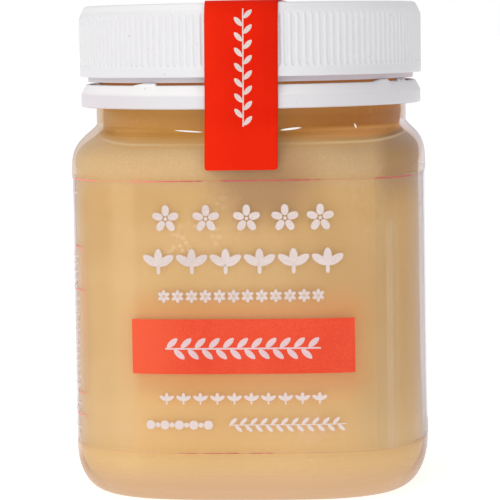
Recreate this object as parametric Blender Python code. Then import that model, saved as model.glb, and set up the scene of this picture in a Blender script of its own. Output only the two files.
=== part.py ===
"""Small clear honey jar with a rounded-square body, filled, labelled, closed by a ribbed
screw lid with a break-off ring, and sealed by a paper strip. Metres, +Z up, front at -Y."""
import math

import bmesh
import bpy

# Body and foot
BODY_HALF = 0.0300  # half the width across the flats, at the base and at the shoulder
BODY_POWER = 3.6  # superellipse exponent of the plan: 2 is a circle, more is squarer
FOOT_POWER = 3.4
FOOT_INSET = 0.0043  # how far the flat foot lies inside the body's width
FOOT_RISE = 0.0074  # height of the rounding above the foot
FOOT_STEPS = 4
FLOOR = 0.0016
WALL = 0.0010
SIDES = 64

# Label panel, a shallow recess in the body
PANEL_BOTTOM = 0.0081
PANEL_TOP = 0.0533
PANEL_DEPTH = 0.0003
PANEL_TAPER = 0.00015  # the panel is this much narrower at its top
PANEL_STEP = 0.0003

# Shoulder and neck
SHOULDER_TOP = 0.0614
SHOULDER_RUN = 0.0025  # drop in which the shoulder gains two thirds of its width
SHOULDER_DROPS = (0.0006, 0.0012, 0.0018, 0.0025, 0.0034, 0.0046, 0.0062)
NECK_RADIUS = 0.0267
NECK_WALL = 0.0014
MOUTH_TOP = 0.0798
MOUTH_CHAMFER = 0.0003

# Honey, clear of the jar by the gap
GAP = 0.0003
HONEY_TOP = 0.0712
MENISCUS = 0.0006

# Lid
LID_TOP = 0.0815
LID_RADIUS = 0.0294
LID_INNER = 0.0270
LID_ROOF = 0.0012
RIBS = 150
RIB_DEPTH = 0.0004
RIB_TOP = 0.0799
RIB_BOTTOM = 0.0716
RIB_FADE = 0.0014  # height over which a rib runs out at its upper end
RIB_FOOT = 0.0003  # and at its lower end
RIM_RADIUS = 0.0280  # edge of the flat top
RIM_ROUND = 0.0007
RIM_TURN = 75.0  # degrees that the rim's rounding turns through
RIM_FOOT = 0.0290  # radius where the ribs begin
COLLAR_BOTTOM = 0.0698
RECESS_RADIUS = 0.0280
EDGE = 0.0003  # small broken edges of the moulding

# Break-off ring under the lid, and the tabs that still hold it
SLIT_TOP = 0.0684
SLIT = 0.0004
RING_RADIUS = 0.02925
RING_BOTTOM = 0.06435
RING_SHELF = 0.00045  # the ring's top runs this far out before it slopes
RING_SLOPE = 0.0013
TAB_ANGLES = (-34.0, 50.0, 142.0, 236.0)  # degrees round from the front
TAB_STEPS = 2  # rib pitches over which a tab is joined at full height
TAB_RAMP = (0.8, 0.5, 0.2)  # how open the slit is over the pitches before it

# Label film, wrapped once round the panel
FILM = 0.0001
FILM_GAP = 0.0002
LABEL_BOTTOM = 0.0086
LABEL_TOP = 0.0530
SEAM_SIDE = 55  # side of the plan, counted from +X, where the film begins
LAP_SIDES = 1

# Paper seal over the lid
STRIP_WIDTH = 0.0118
STRIP_THICKNESS = 0.00015
STRIP_GAP = 0.0002
STRIP_BOTTOM = 0.0546
STRIP_END = 0.0120  # how far past the lid's middle it reaches
STRIP_CENTRE = 0.0005
STRIP_LEAN = 0.011  # sideways shift for each metre of height
STRIP_LANDS = 0.0592  # height where it comes to lie on the shoulder
STRIP_COLUMNS = 6


def plan_radius(angle, half, power):
    """Distance from the axis to a superellipse of the given half width."""
    c, s = abs(math.cos(angle)), abs(math.sin(angle))
    return half * (c**power + s**power) ** (-1 / power)


def plan_ring(half, power, z):
    """Points of one level outline, anticlockwise from +X."""
    points = []
    for k in range(SIDES):
        angle = 2 * math.pi * k / SIDES
        r = plan_radius(angle, half, power)
        points.append((r * math.cos(angle), r * math.sin(angle), z))
    return points


def round_ring(z, pitch):
    """Points of one round outline that repeats a pitch, its (share, radius) pairs, at each rib."""
    points = []
    for k in range(RIBS):
        for share, radius in pitch:
            angle = 2 * math.pi * (k + share) / RIBS
            points.append((radius * math.cos(angle), radius * math.sin(angle), z))
    return points


def rim_profile(clear=0.0):
    """Radius and height pairs round the lid's upper edge, moved out by clear."""
    reach = RIM_ROUND + clear
    pairs = []
    for share in (0.0, 0.5, 1.0):
        turn = math.radians(RIM_TURN) * share
        drop = reach * math.cos(turn) - RIM_ROUND
        pairs.append((RIM_RADIUS + reach * math.sin(turn), LID_TOP + drop))
    pairs.append((RIM_FOOT + clear, RIB_TOP))
    return pairs


def shoulder_share(drop):
    """How much of the way from the neck to the body the shoulder has come at this drop."""
    return 1 - math.exp(-((drop / SHOULDER_RUN) ** 1.5))


def panel_half(z):
    """Half width of the label panel at height z."""
    share = (z - PANEL_BOTTOM) / (PANEL_TOP - PANEL_BOTTOM)
    return BODY_HALF - PANEL_DEPTH - PANEL_TAPER * share


def verts_of(bm, points):
    return [bm.verts.new(p) for p in points]


def join_rings(bm, a, b):
    """Faces between two rings of as many vertices each."""
    count = len(a)
    for k in range(count):
        n = (k + 1) % count
        bm.faces.new((a[k], a[n], b[n], b[k]))


def join_rib_ends(bm, plain, ribbed):
    """Faces between a plain ring and a ring with three vertices for each rib."""
    count = len(plain)
    for k in range(count):
        n = (k + 1) % count
        left, crest, right = ribbed[3 * k : 3 * k + 3]
        bm.faces.new((plain[k], ribbed[3 * k - 1], left))
        bm.faces.new((plain[k], left, crest))
        bm.faces.new((plain[k], crest, plain[n]))
        bm.faces.new((plain[n], crest, right))


def skin(bm, rings):
    """Joins each ring to the next."""
    for a, b in zip(rings, rings[1:]):
        join_rings(bm, a, b)


def finish(name, bm, material, sharp_degrees=35):
    """Turns the mesh outwards and puts it in the scene as one smooth-shaded object."""
    bmesh.ops.recalc_face_normals(bm, faces=bm.faces)
    mesh = bpy.data.meshes.new(name)
    bm.to_mesh(mesh)
    bm.free()
    mesh.shade_smooth()
    mesh.set_sharp_from_angle(angle=math.radians(sharp_degrees))
    mesh.materials.append(material)
    obj = bpy.data.objects.new(name, mesh)
    bpy.context.collection.objects.link(obj)
    return obj


def surface(name, colour, roughness, transmission=0.0, ior=1.5):
    """Material with the part's own colour and roughness."""
    material = bpy.data.materials.new(name)
    material.use_nodes = True
    shader = material.node_tree.nodes["Principled BSDF"]
    shader.inputs["Base Color"].default_value = (*colour, 1.0)
    shader.inputs["Roughness"].default_value = roughness
    shader.inputs["Metallic"].default_value = 0.0
    shader.inputs["Transmission Weight"].default_value = transmission
    shader.inputs["IOR"].default_value = ior
    return material


def foot_points(half, inset, rise, floor, steps):
    """Outlines of the rounded foot, a quarter of an ellipse from the flat up to the side."""
    rings = []
    for k in range(steps + 1):
        turn = math.pi / 2 * k / steps
        share = math.sin(turn)
        power = FOOT_POWER + (BODY_POWER - FOOT_POWER) * share
        width = half - inset * (1 - share)
        rings.append(plan_ring(width, power, floor + rise * (1 - math.cos(turn))))
    return rings


def shoulder_points(neck, half, top):
    """Outlines from the round neck down to the squarer body, widest first."""
    rings = []
    for drop in reversed(SHOULDER_DROPS):
        share = shoulder_share(drop)
        power = 2 + (BODY_POWER - 2) * share
        rings.append(plan_ring(neck + (half - neck) * share, power, top - drop))
    rings.append(plan_ring(neck, 2, top))
    return rings


def inner_points(offset, floor, top):
    """Outlines of the jar's inside, moved in by offset, from the floor up to the neck's end."""
    neck = NECK_RADIUS - NECK_WALL - offset
    wide = BODY_HALF - PANEL_DEPTH - WALL - offset
    narrow = wide - PANEL_TAPER
    shoulder = SHOULDER_TOP - WALL - offset
    rings = foot_points(wide, FOOT_INSET, FOOT_RISE - WALL, floor, FOOT_STEPS - 1)
    rings.append(plan_ring(narrow, BODY_POWER, PANEL_TOP))
    rings += shoulder_points(neck, narrow, shoulder)[1::2]
    rings.append(plan_ring(neck, 2, top))
    return rings


def make_jar(material):
    """The clear bottle: flat foot, recessed panel, shoulder, plain neck and open mouth."""
    bm = bmesh.new()
    outside = foot_points(BODY_HALF, FOOT_INSET, FOOT_RISE, 0.0, FOOT_STEPS)
    low, high = PANEL_BOTTOM, PANEL_TOP
    outside.append(plan_ring(BODY_HALF, BODY_POWER, low))
    outside.append(plan_ring(panel_half(low), BODY_POWER, low + PANEL_STEP))
    outside.append(plan_ring(panel_half(high), BODY_POWER, high - PANEL_STEP))
    outside.append(plan_ring(BODY_HALF, BODY_POWER, high))
    outside += shoulder_points(NECK_RADIUS, BODY_HALF, SHOULDER_TOP)
    mouth_inner = NECK_RADIUS - NECK_WALL
    outside.append(plan_ring(NECK_RADIUS, 2, MOUTH_TOP - MOUTH_CHAMFER))
    outside.append(plan_ring(NECK_RADIUS - MOUTH_CHAMFER, 2, MOUTH_TOP))
    outside.append(plan_ring(mouth_inner + MOUTH_CHAMFER, 2, MOUTH_TOP))
    inside = inner_points(0.0, FLOOR, MOUTH_TOP - MOUTH_CHAMFER)
    rings = [verts_of(bm, points) for points in outside + inside[::-1]]
    skin(bm, rings)
    bm.faces.new(rings[0])
    bm.faces.new(rings[-1])
    return finish("jar", bm, material)


def make_honey(material):
    """The filling, up into the neck, clear of the jar by the gap."""
    bm = bmesh.new()
    points = inner_points(GAP, FLOOR + GAP, HONEY_TOP - MENISCUS)
    neck = NECK_RADIUS - NECK_WALL - GAP
    points.append(plan_ring(neck - MENISCUS, 2, HONEY_TOP))
    rings = [verts_of(bm, p) for p in points]
    skin(bm, rings)
    bm.faces.new(rings[0])
    bm.faces.new(rings[-1])
    return finish("honey", bm, material)


def slit_openness():
    """How open the slit is at each pitch round the lid: 1 is open and 0 is joined by a tab."""
    openness = [1.0] * RIBS
    for degrees in TAB_ANGLES:
        first = round((degrees - 90) / 360 * RIBS)
        for j in range(TAB_STEPS + 1):
            openness[(first + j) % RIBS] = 0.0
        for j, share in enumerate(TAB_RAMP):
            openness[(first - len(TAB_RAMP) + j) % RIBS] = share
    return openness


def rib_ring(z):
    """One ribbed outline: two valley points and a crest for each rib."""
    valley = LID_RADIUS - RIB_DEPTH
    return round_ring(z, ((0.2, valley), (0.5, LID_RADIUS), (0.8, valley)))


def make_lid(material):
    """Ribbed cap, its recessed skirt, the tabs and the break-off ring, moulded in one."""
    bm = bmesh.new()

    def plain(radius, z):
        return verts_of(bm, round_ring(z, ((0.0, radius),)))

    upper = [plain(radius, z) for radius, z in rim_profile()]
    ribs = [
        verts_of(bm, rib_ring(RIB_TOP - RIB_FADE)),
        verts_of(bm, rib_ring(RIB_BOTTOM + RIB_FOOT)),
    ]
    slit_outer = plain(RECESS_RADIUS, SLIT_TOP)
    slit_inner = plain(LID_INNER, SLIT_TOP)
    collar = [
        plain(LID_RADIUS, RIB_BOTTOM),
        plain(LID_RADIUS, COLLAR_BOTTOM + EDGE),
        plain(LID_RADIUS - EDGE, COLLAR_BOTTOM),
        plain(RECESS_RADIUS, COLLAR_BOTTOM),
        slit_outer,
    ]
    roof = plain(LID_INNER, LID_TOP - LID_ROOF)
    bm.faces.new(upper[0])
    skin(bm, upper)
    join_rib_ends(bm, upper[-1], ribs[0])
    skin(bm, ribs)
    join_rib_ends(bm, collar[0], ribs[1])
    skin(bm, collar)
    join_rings(bm, slit_inner, roof)
    bm.faces.new(roof)

    openness = slit_openness()
    ring_outer, ring_inner, ring_edge = [], [], []
    for k, share in enumerate(openness):
        angle = 2 * math.pi * k / RIBS
        x, y = math.cos(angle), math.sin(angle)
        z = SLIT_TOP - SLIT * share
        edge = RECESS_RADIUS + RING_SHELF
        ring_edge.append(bm.verts.new((edge * x, edge * y, z - RING_SHELF / 2)))
        if share == 0:
            ring_outer.append(slit_outer[k])
            ring_inner.append(slit_inner[k])
        else:
            ring_outer.append(bm.verts.new((RECESS_RADIUS * x, RECESS_RADIUS * y, z)))
            ring_inner.append(bm.verts.new((LID_INNER * x, LID_INNER * y, z)))
    for k in range(RIBS):
        n = (k + 1) % RIBS
        if openness[k] == 0 and openness[n] == 0:
            continue
        for outer, inner in ((slit_outer, slit_inner), (ring_outer, ring_inner)):
            bm.faces.new((outer[k], outer[n], inner[n], inner[k]))
    ring = [
        ring_outer,
        ring_edge,
        plain(RING_RADIUS, SLIT_TOP - SLIT - RING_SLOPE),
        plain(RING_RADIUS, RING_BOTTOM + EDGE),
        plain(RING_RADIUS - EDGE, RING_BOTTOM),
        plain(LID_INNER, RING_BOTTOM),
        ring_inner,
    ]
    skin(bm, ring)
    return finish("lid", bm, material, 30)


def make_label(material):
    """Clear film round the panel, its end lapped over its start."""
    bm = bmesh.new()
    sides = SIDES + LAP_SIDES
    rows = []
    for z in (LABEL_BOTTOM, LABEL_TOP):
        inner, outer = [], []
        for k in range(sides + 1):
            angle = 2 * math.pi * (SEAM_SIDE + k) / SIDES
            climb = min(max((k - SIDES + 3) / 3, 0.0), 1.0)
            lift = FILM_GAP + 2 * FILM * climb
            for side, depth in ((inner, 0.0), (outer, FILM)):
                r = plan_radius(angle, panel_half(z) + lift + depth, BODY_POWER)
                point = (r * math.cos(angle), r * math.sin(angle), z)
                side.append(bm.verts.new(point))
        rows.append(inner + outer[::-1])
    low, high = rows
    join_rings(bm, low, high)
    count = len(low)
    for row in rows:
        for k in range(sides):
            bm.faces.new((row[k], row[k + 1], row[count - 2 - k], row[count - 1 - k]))
    return finish("label", bm, material)


def strip_path(clear):
    """The strip's path as reach in front of the axis, height, and how curved it is across."""
    over = LID_TOP + clear
    side = LID_RADIUS + clear
    low = BODY_HALF + clear
    path = [(-STRIP_END, over, 0.0), (0.0, over, 0.0), (RIM_RADIUS / 2, over, 0.3)]
    path += [(radius, z, 1.0) for radius, z in rim_profile(clear)]
    path += [(side, RIB_TOP - RIB_FADE, 1.0), (side, COLLAR_BOTTOM, 1.0), (side, RING_BOTTOM, 1.0)]
    path += [(low, STRIP_LANDS, 0.5), (low, (STRIP_LANDS + STRIP_BOTTOM) / 2, 0.1)]
    path.append((low, STRIP_BOTTOM, 0.0))
    return path


def strip_layer(bm, clear):
    """One face of the strip as rows of vertices, bent round the lid by its curve."""
    grid = []
    for reach, z, curve in strip_path(clear):
        middle = STRIP_CENTRE + STRIP_LEAN * (z - STRIP_BOTTOM)
        row = []
        for k in range(STRIP_COLUMNS + 1):
            x = middle + STRIP_WIDTH * (k / STRIP_COLUMNS - 0.5)
            sag = reach - math.sqrt(reach**2 - x**2) if reach > abs(x) else 0.0
            row.append(bm.verts.new((x, curve * sag - reach, z)))
        grid.append(row)
    for a, b in zip(grid, grid[1:]):
        for k in range(STRIP_COLUMNS):
            bm.faces.new((a[k], a[k + 1], b[k + 1], b[k]))
    return grid


def make_strip(material):
    """Paper seal from the lid's top, down over the lid's side and ring to the shoulder."""
    bm = bmesh.new()
    back = strip_layer(bm, STRIP_GAP)
    face = strip_layer(bm, STRIP_GAP + STRIP_THICKNESS)
    for s in range(len(back) - 1):
        for k in (0, STRIP_COLUMNS):
            bm.faces.new((back[s][k], back[s + 1][k], face[s + 1][k], face[s][k]))
    for s in (0, -1):
        for k in range(STRIP_COLUMNS):
            bm.faces.new((back[s][k], back[s][k + 1], face[s][k + 1], face[s][k]))
    return finish("seal_strip", bm, material)


def main():
    for obj in list(bpy.data.objects):
        bpy.data.objects.remove(obj, do_unlink=True)
    make_jar(surface("clear_plastic", (0.95, 0.96, 0.97), 0.05, 1.0, 1.57))
    make_honey(surface("creamed_honey", (0.72, 0.46, 0.19), 0.4))
    make_lid(surface("white_plastic", (0.86, 0.86, 0.88), 0.3))
    make_label(surface("clear_film", (0.93, 0.93, 0.93), 0.15, 0.9))
    make_strip(surface("red_paper", (0.84, 0.04, 0.01), 0.45))


main()
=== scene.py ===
# %% [markdown]
# # A small jar of set honey
# The imported solids are the fixed frame: they say where the jar, honey, lid, label and seal are. This lesson
# dresses them. We load the frame first. All shapes and places below are written in millimetres. A mesh is
# turned into metres when it is made.

import math

import bpy
import numpy as np
from mathutils import Matrix


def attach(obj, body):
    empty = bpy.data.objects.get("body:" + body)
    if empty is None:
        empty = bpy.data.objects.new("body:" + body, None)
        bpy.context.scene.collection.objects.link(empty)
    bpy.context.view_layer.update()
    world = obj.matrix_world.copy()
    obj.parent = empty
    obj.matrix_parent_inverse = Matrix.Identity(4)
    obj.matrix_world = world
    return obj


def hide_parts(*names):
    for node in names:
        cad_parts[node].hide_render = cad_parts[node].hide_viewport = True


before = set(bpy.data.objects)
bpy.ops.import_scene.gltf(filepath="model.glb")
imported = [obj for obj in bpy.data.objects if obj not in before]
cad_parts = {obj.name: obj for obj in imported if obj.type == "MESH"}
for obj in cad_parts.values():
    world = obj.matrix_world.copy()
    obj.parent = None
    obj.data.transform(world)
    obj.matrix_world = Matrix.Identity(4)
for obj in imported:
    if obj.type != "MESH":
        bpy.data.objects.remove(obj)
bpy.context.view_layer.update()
MM = 0.001
print("nodes", sorted(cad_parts))

# %% [markdown]
# ## One way of making every mesh
# Each piece is a grid of points: rows one way, columns the other. A turned or moulded thing is a stack of
# rings, closed at both ends on its middle; a film or a strip of paper is an open sheet. A bmesh built by hand
# could do it too, but numpy works out all points at once and the rule of the shape stays readable.

# %% Grids into meshes
def round_axis(radius, angle, height):
    """Points round the upright axis: (r cos a, r sin a, z)."""
    return np.stack(np.broadcast_arrays(radius * np.cos(angle), radius * np.sin(angle), height), -1)


def grid_faces(rows, columns, closed_across=True, closed_along=False):
    """Quads between neighbours of a grid. Rows that rise and columns that go anticlockwise face outwards."""
    last_row = rows if closed_along else rows - 1
    last_column = columns if closed_across else columns - 1
    row, column = np.meshgrid(np.arange(last_row), np.arange(last_column), indexing="ij")
    above, beside = (row + 1) % rows, (column + 1) % columns
    row, above = row * columns, above * columns
    return np.stack([row + column, row + beside, above + beside, above + column], -1).reshape(-1, 4)


def closed_skin(rings):
    """Rings joined in order, with the first and the last one closed on their middle points."""
    rows, columns = rings.shape[:2]
    points = np.concatenate([rings.reshape(-1, 3), rings[:1].mean(1), rings[-1:].mean(1)])
    here = np.arange(columns)
    beside = (here + 1) % columns
    first, last = np.full(columns, rows * columns), np.full(columns, rows * columns + 1)
    end = (rows - 1) * columns
    fans = [np.stack([first, beside, here], -1), np.stack([end + here, end + beside, last], -1)]
    return points, grid_faces(rows, columns).tolist() + np.concatenate(fans).tolist()


# %% Meshes into pieces
def put_in_scene(name, data):
    """A new object for a mesh, a lamp or a camera, linked to the scene."""
    made = bpy.data.objects.new(name, data)
    bpy.context.scene.collection.objects.link(made)
    return made


def add_piece(name, points, faces, material, stands_for=()):
    """Puts a mesh, given in millimetres, in the scene at the origin, smooth, riding on the one body."""
    mesh = bpy.data.meshes.new(name)
    points = np.asarray(points).reshape(-1, 3) * MM
    mesh.from_pydata(points.tolist(), [], faces if isinstance(faces, list) else faces.tolist())
    mesh.shade_smooth()
    mesh.materials.append(material)
    piece = put_in_scene(name, mesh)
    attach(piece, "root")
    if stands_for:
        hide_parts(*stands_for)
    print(name, len(mesh.vertices), "points", len(mesh.polygons), "faces")
    return piece


def thicken(piece, thickness, offset=0.0):
    """Gives a sheet its thickness: half to each side with offset 0, all of it outwards with offset 1."""
    wall = piece.modifiers.new("thickness", "SOLIDIFY")
    wall.thickness = thickness * MM
    wall.offset = offset


def let_light_through(piece):
    """A clear skin takes next to nothing from the light, so lamps and bounced light pass it unhindered."""
    piece.visible_shadow = False
    piece.visible_diffuse = False


# %% [markdown]
# ## One way of making every finish
# A finish is a small node tree. These helpers add a node with its inputs already filled or joined, and put
# the sums that come back again and again into words, so that each recipe below reads as a list of what is
# laid over what. Every share runs from 0 to 1.

# %% Nodes into materials
def new_finish(name):
    """An empty material and its node tree."""
    material = bpy.data.materials.new(name)
    material.use_nodes = True
    material.node_tree.nodes.clear()
    return material, material.node_tree


def add(tree, kind, settings=None, **inputs):
    """A node of this kind. Inputs are given by name, or as i0, i1 by number, as values or as sockets."""
    made = tree.nodes.new("ShaderNode" + kind)
    for key, value in (settings or {}).items():
        setattr(made, key, value)
    for key, value in inputs.items():
        socket = made.inputs[int(key[1:])] if key[1:].isdigit() else made.inputs[key.replace("_", " ")]
        if isinstance(value, bpy.types.NodeSocket):
            tree.links.new(value, socket)
        elif socket.type == "RGBA":
            socket.default_value = (*value, 1.0)
        else:
            socket.default_value = value
    return made


def put_out(material, shader):
    """Joins a shader to the material's output."""
    tree = material.node_tree
    add(tree, "OutputMaterial", Surface=shader.outputs[0])
    print(material.name, len(tree.nodes), "nodes")
    return material


# %% Sums on numbers
def calc(tree, operation, *values):
    """The result of a sum on numbers or sockets."""
    return add(tree, "Math", {"operation": operation}, **{f"i{k}": v for k, v in enumerate(values)}).outputs[0]


def times(tree, product, *factors):
    """All the factors multiplied."""
    for factor in factors:
        product = calc(tree, "MULTIPLY", product, factor)
    return product


def length_of(tree, across, up):
    """The length of a step given by its two parts."""
    return calc(tree, "SQRT", calc(tree, "ADD", calc(tree, "POWER", across, 2.0), calc(tree, "POWER", up, 2.0)))


def from_middle(tree, x, z, middle_x, middle_z, half_x=1.0, half_z=1.0):
    """How far out a point is in an upright ellipse: 0 at its middle and 1 on its outline."""
    across = calc(tree, "DIVIDE", calc(tree, "SUBTRACT", x, middle_x), half_x)
    up = calc(tree, "DIVIDE", calc(tree, "SUBTRACT", z, middle_z), half_z)
    return length_of(tree, across, up)


def beyond(tree, value, middle, half):
    """How far a value lies beyond a stretch, to either side of it; 0 within it."""
    off_middle = calc(tree, "ABSOLUTE", calc(tree, "SUBTRACT", value, middle))
    return calc(tree, "MAXIMUM", calc(tree, "SUBTRACT", off_middle, half), 0.0)


def fade(tree, value, start, end, low=0.0, high=1.0):
    """Goes smoothly from low to high as the value goes from start to end."""
    settings = {"interpolation_type": "SMOOTHSTEP"}
    made = add(tree, "MapRange", settings, i0=value, i1=start, i2=end, i3=low, i4=high)
    return made.outputs[0]


def between(tree, value, start, full, fading, end):
    """A share that comes in from start to full and goes out again from fading to end."""
    return times(tree, fade(tree, value, start, full), fade(tree, value, end, fading))


# %% Patterns, colours and shaders
def place(tree):
    """The point's own x, y and z in millimetres, fixed to the piece, and all three in metres as one vector."""
    where = add(tree, "TexCoord").outputs["Object"]
    split = add(tree, "SeparateXYZ", i0=where)
    return (*(calc(tree, "DIVIDE", axis, MM) for axis in split.outputs), where)


def noise(tree, where, scale, detail=2.0, roughness=0.5):
    """Cloudy pattern around one half; the scale is in clouds for each metre."""
    made = add(tree, "TexNoise", Vector=where, Scale=scale, Detail=detail, Roughness=roughness)
    return made.outputs["Fac"]


def cells(tree, where, scale):
    """Distance from the nearest of many scattered points, as a share of their spacing."""
    return add(tree, "TexVoronoi", Vector=where, Scale=scale, Randomness=1.0).outputs["Distance"]


def blend_colours(tree, share, first, second, kind="MIX"):
    """Two colours mixed by a share."""
    made = add(tree, "Mix", {"data_type": "RGBA", "blend_type": kind}, i0=share, i6=first, i7=second)
    return made.outputs[2]


def lay(tree, colour, over, *shares):
    """A colour with another one laid over it, by the product of the shares."""
    return blend_colours(tree, times(tree, *shares), colour, over)


def speckle(tree, colour, grain, strength):
    """A colour made lighter and darker by a fine pattern."""
    return blend_colours(tree, strength, colour, blend_colours(tree, grain, (0, 0, 0), (1, 1, 1)), "OVERLAY")


def mix_shaders(tree, share, first, second):
    """Two shaders mixed by a share."""
    return add(tree, "MixShader", i0=share, i1=first.outputs[0], i2=second.outputs[0])


def mirror_share(tree, facing, outer, most, least):
    """What a clear skin mirrors: it grows as the fifth power of how far the skin turns away."""
    return times(tree, calc(tree, "MULTIPLY_ADD", calc(tree, "POWER", facing, 5.0), most, least), outer)


# %% [markdown]
# ## The jar's own form
# The body is a rounded square that turns into a round neck. A superellipse does both: |x/a|^n + |y/a|^n = 1
# is a circle for n = 2 and squares up as n grows. So one list of (half width, power, height) is the whole
# jar, and a lofted curve or a subdivided box would only come close to it.

# %% Sizes of the jar
COLUMNS = 384
ANGLES = np.linspace(0.0, 2 * np.pi, COLUMNS, endpoint=False)
ROUND = 2.0
BODY_HALF, BODY_POWER = 30.0, 3.6
FOOT_POWER, FOOT_INSET, FOOT_RISE = 3.4, 4.3, 7.4
FLOOR, WALL = 1.6, 1.0
PANEL_BOTTOM, PANEL_TOP, PANEL_DEPTH, PANEL_TAPER, PANEL_STEP = 8.1, 53.3, 0.3, 0.15, 0.3
SHOULDER_TOP, SHOULDER_RUN, SHOULDER_DEPTH = 61.4, 2.5, 8.0
NECK_RADIUS, NECK_WALL, MOUTH_TOP, LIP_ROUND = 26.7, 1.4, 79.8, 0.3
HONEY_TOP, INTO_WALL = 71.2, 0.15


# %% Rings of the jar
def squircle(angle, power):
    """Distance from the axis to the outline |x|^n + |y|^n = 1 in this direction."""
    return (np.abs(np.cos(angle)) ** power + np.abs(np.sin(angle)) ** power) ** (-1 / power)


def outlines(half, power, height):
    """One level ring of points for each half width and height; the power may be one for all."""
    half, power, height = (np.asarray(v, float).reshape(-1, 1) for v in (half, power, height))
    return round_axis(half * squircle(ANGLES[None], power), ANGLES, height)


def foot_outlines(half, rise, floor, steps=14):
    """Quarter of an ellipse from the flat underside up to the upright side."""
    turn = np.linspace(0.0, np.pi / 2, steps)
    share = np.sin(turn)
    power = FOOT_POWER + (BODY_POWER - FOOT_POWER) * share
    return outlines(half - FOOT_INSET * (1 - share), power, floor + rise * (1 - np.cos(turn)))


def shoulder_outlines(neck, half, top, steps=30):
    """From the squarer body up to the round neck: the width goes as 1 - exp(-(drop / run)^1.5)."""
    drop = SHOULDER_DEPTH * np.linspace(1.0, 0.0, steps) ** 1.4
    share = 1 - np.exp(-((drop / SHOULDER_RUN) ** 1.5))
    return outlines(neck + (half - neck) * share, ROUND + (BODY_POWER - ROUND) * share, top - drop)


def panel_half(height):
    """Half width of the shallow recess in which the label lies."""
    share = (np.asarray(height, float) - PANEL_BOTTOM) / (PANEL_TOP - PANEL_BOTTOM)
    return BODY_HALF - PANEL_DEPTH - PANEL_TAPER * share


def inside_outlines(offset, top):
    """The inside of the wall moved in by the offset, from the floor up to the neck's end."""
    neck = NECK_RADIUS - NECK_WALL - offset
    wide = BODY_HALF - PANEL_DEPTH - WALL - offset
    narrow = wide - PANEL_TAPER
    rings = [foot_outlines(wide, FOOT_RISE - WALL, FLOOR + offset)]
    rings.append(outlines([wide - 0.05, narrow], BODY_POWER, [20.0, 50.0]))
    rings.append(shoulder_outlines(neck, narrow, SHOULDER_TOP - WALL - offset))
    rings.append(outlines(neck, ROUND, np.linspace(SHOULDER_TOP + 0.5, top, 10)))
    return np.concatenate(rings)


print("jar", 2 * BODY_HALF, "mm wide, neck", 2 * NECK_RADIUS, "mm, mouth at", MOUTH_TOP, "mm")

# %% [markdown]
# ## Clear plastic
# The wall is clear and 1 mm thick, and the honey wets it, so nothing bends the view until the very edge. A
# fully refracting shader would be the textbook way, but here it smears the honey's edge. So the wall lets the
# view straight through and mirrors more as it turns away, which is what Layer Weight measures. Its far side
# shows only through the clear edge beside the honey, and that is where it gets the warm grey of a thick edge,
# painted on for the honey's light that the edge bends. The solid foot is painted in the honey's colour, a
# painted reflection of the honey inside it, and fine painted highlights sit at the foot of the neck.

# %% Clear plastic finish
# painted highlights on the neck: middle x and height, half length, half thickness, rise for each mm across and
# run for each mm up
PAINTED_NECK_GLINTS = [
    (-8.3, 60.80, 2.75, 0.13, -0.06, 0.0),
    (8.35, 60.97, 1.90, 0.19, 0.09, 0.0),
    (18.6, 61.1, 0.14, 0.42, 0.0, -1 / 2.2),
]


def painted_neck_glints(tree, x, z):
    """Painted highlights at the foot of the neck, where its hollow would catch the light: slender slanted
    ellipses.
    """
    total = 0.0
    for middle, height, long, thick, rise, run in PAINTED_NECK_GLINTS:
        across, up = calc(tree, "SUBTRACT", x, middle), calc(tree, "SUBTRACT", z, height)
        along = calc(tree, "SUBTRACT", across, times(tree, up, run))
        off = calc(tree, "SUBTRACT", up, times(tree, across, rise))
        reach = length_of(tree, calc(tree, "DIVIDE", along, long), calc(tree, "DIVIDE", off, thick))
        total = calc(tree, "MAXIMUM", total, fade(tree, reach, 1.0, 0.65))
    return total


def rim_colour(tree, facing, right):
    """What a clear skin mirrors: plain grey where it faces us, warm where it turns away, most at the left."""
    turned_away = blend_colours(tree, right, (0.69, 0.60, 0.55), (0.60, 0.57, 0.575))
    return blend_colours(tree, fade(tree, facing, 0.60, 0.90), (0.58, 0.58, 0.60), turned_away)


def make_clear_plastic():
    material, tree = new_finish("clear_plastic")
    x, y, z, where = place(tree)
    waves = noise(tree, where, 70.0, 1.0)
    bump = add(tree, "Bump", Strength=0.06, Distance=0.4 * MM, Height=waves).outputs[0]
    facing = add(tree, "LayerWeight", Blend=0.5, Normal=bump).outputs["Facing"]
    far_side = add(tree, "NewGeometry").outputs["Backfacing"]
    near_side = calc(tree, "SUBTRACT", 1.0, far_side)
    right = fade(tree, x, -10.0, 10.0)
    gloss = add(tree, "BsdfGlossy", Color=rim_colour(tree, facing, right), Roughness=0.05, Normal=bump)
    # the far side, seen through the clear edge: a warm tint painted on for the honey's light that the edge
    # bends
    inward = blend_colours(tree, right, (0.66, 0.41, 0.20), (0.60, 0.35, 0.18))
    outward = blend_colours(tree, right, (0.80, 0.62, 0.48), (0.85, 0.73, 0.71))
    edge = blend_colours(tree, fade(tree, facing, 0.68, 0.94), inward, outward)
    clear = add(tree, "BsdfTransparent", Color=blend_colours(tree, far_side, (0.985, 0.985, 0.985), edge))
    # painted reflection: the solid foot is painted in the honey's colour, for the honey it reflects
    foot = add(tree, "BsdfDiffuse", Color=(0.60, 0.385, 0.215))
    body = mix_shaders(tree, fade(tree, z, 7.0, 2.5, 0.0, 0.95), clear, foot)
    both = mix_shaders(tree, mirror_share(tree, facing, near_side, 0.96, 0.04), body, gloss)
    # painted highlights: a white glow laid over the marks at the foot of the neck
    lit = add(tree, "Emission", Color=(0.97, 0.96, 0.95), Strength=0.95)
    painted_glints = times(tree, painted_neck_glints(tree, x, z), near_side, fade(tree, y, -15.0, -17.0))
    return put_out(material, mix_shaders(tree, painted_glints, both, lit))


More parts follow.
